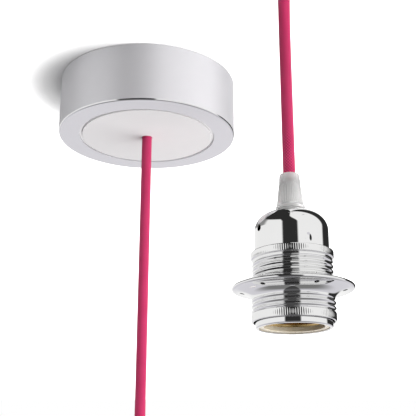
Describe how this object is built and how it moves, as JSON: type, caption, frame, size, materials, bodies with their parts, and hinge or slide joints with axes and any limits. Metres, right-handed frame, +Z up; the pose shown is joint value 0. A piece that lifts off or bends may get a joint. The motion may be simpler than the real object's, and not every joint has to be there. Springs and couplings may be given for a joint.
{
  "type": "pendant cord set",
  "caption": "Pendant cord set: a round chrome ceiling rose, a pink textile cord with a spare coil and ceiling clips, and a chrome screw lampholder with a threaded shade ring.",
  "frame": {"origin": "centre of the rose's ceiling face", "axes": "+Z up into the ceiling, +X to the right and +Y away from the viewer of the picture"},
  "size_m": [0.238, 0.216, 0.3005],
  "materials": {
    "polished_chrome": "polished",
    "white_plastic": "matt moulded",
    "clear_plastic": "frosted, part see-through",
    "zinc_steel": "zinc plated",
    "plain_brass": "bright",
    "porcelain": "glazed cream porcelain",
    "pink_textile": "braided, slight sheen",
    "white_tie": "matt",
    "brown_wire": "smooth",
    "blue_wire": "smooth",
    "earth_wire": "smooth, green and yellow"
  },
  "bodies": {
    "root": {"rose_shell": "polished_chrome", "barrel": "polished_chrome", "shade_ring": "polished_chrome", "dome_cap": "polished_chrome", "rose_insert": "white_plastic", "cord_clamp_bar": "white_plastic", "terminal_block": "white_plastic", "ceiling_clip_far": "white_plastic", "ceiling_clip_near": "white_plastic", "cord_grip": "clear_plastic", "grip_stem": "clear_plastic", "ceiling_strap": "zinc_steel", "grub_screw_left": "zinc_steel", "grub_screw_right": "zinc_steel", "clamp_screw_1": "zinc_steel", "clamp_screw_2": "zinc_steel", "block_screw_1": "zinc_steel", "block_screw_2": "zinc_steel", "stem_nut": "zinc_steel", "holder_screw_live": "zinc_steel", "holder_screw_neutral": "zinc_steel", "clip_screw_far_a": "zinc_steel", "clip_screw_far_b": "zinc_steel", "clip_screw_near_a": "zinc_steel", "clip_screw_near_b": "zinc_steel", "terminal_screw_1": "zinc_steel", "terminal_screw_2": "zinc_steel", "terminal_screw_3": "zinc_steel", "terminal_screw_4": "zinc_steel", "terminal_screw_5": "zinc_steel", "terminal_screw_6": "zinc_steel", "terminal_live": "plain_brass", "terminal_earth": "plain_brass", "terminal_neutral": "plain_brass", "earth_washer": "plain_brass", "earth_screw": "plain_brass", "earth_tag": "plain_brass", "socket_shell": "plain_brass", "centre_contact": "plain_brass", "neutral_plate": "plain_brass", "socket_rivet_1": "plain_brass", "socket_rivet_2": "plain_brass", "porcelain_body": "porcelain", "guard_ring": "porcelain", "cord_drop": "pink_textile", "cord_coil": "pink_textile", "cord_riser": "pink_textile", "coil_tie_1": "white_tie", "coil_tie_2": "white_tie", "rose_wire_live": "brown_wire", "holder_wire_live": "brown_wire", "rose_wire_neutral": "blue_wire", "holder_wire_neutral": "blue_wire", "rose_wire_earth": "earth_wire", "holder_wire_earth": "earth_wire", "earth_link": "earth_wire"}
  },
  "joints": []
}
